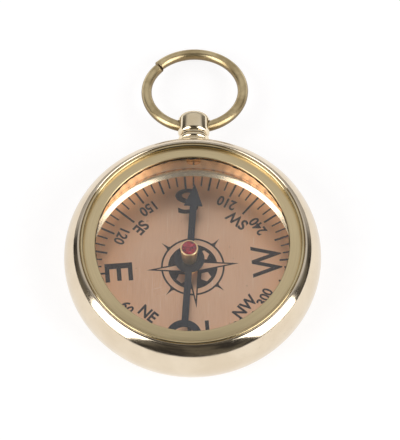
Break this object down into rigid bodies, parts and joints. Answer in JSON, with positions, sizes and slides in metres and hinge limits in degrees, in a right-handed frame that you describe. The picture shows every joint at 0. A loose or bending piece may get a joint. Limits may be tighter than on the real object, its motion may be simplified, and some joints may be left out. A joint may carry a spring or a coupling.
{
  "type": "pocket compass",
  "caption": "Round open-face brass pocket compass with a pivoted needle under flat glass and a swinging bow ring.",
  "frame": {"origin": "centre of the flat back, on the case's axis", "axes": "+Z out of the back through the glass, +Y towards the pendant and bow, +X to the right seen from the glass side"},
  "size_m": [0.045, 0.0661, 0.0117],
  "materials": {
    "case_brass": "polished",
    "polished_brass": "polished",
    "satin_brass": "satin, turned",
    "antique_brass": "aged",
    "glass": "clear",
    "seal": "matt",
    "dial_copper": "copper-plated, satin",
    "ink": "printed",
    "pin_steel": "ground",
    "black_steel": "blackened",
    "jewel": "red, faceted"
  },
  "bodies": {
    "case": {"case_body": "case_brass", "back_plate": "case_brass", "bezel_ring": "satin_brass", "crystal": "glass", "crystal_gasket": "seal", "dial_plate": "dial_copper", "dial_ring": "polished_brass", "degree_scale": "ink", "compass_rose": "ink", "pivot_base": "polished_brass", "pivot_pin": "pin_steel", "pendant_collar": "case_brass", "pendant": "case_brass", "pendant_screw": "polished_brass"},
    "needle": {"needle_blade": "black_steel", "needle_collar": "polished_brass", "needle_cap": "polished_brass", "cap_jewel": "jewel"},
    "bow": {"bow_ring": "antique_brass"}
  },
  "joints": [
    {"name": "needle_spin", "type": "hinge", "parent": "case", "child": "needle", "pos_m": [-0.00057, 0, 0.0044], "axis": [0, 0, 1], "continuous": true},
    {"name": "bow_swing", "type": "hinge", "parent": "case", "child": "bow", "pos_m": [0, 0.02583, 0.006], "axis": [1, 0, 0], "range_deg": [-124, 148]}
  ]
}
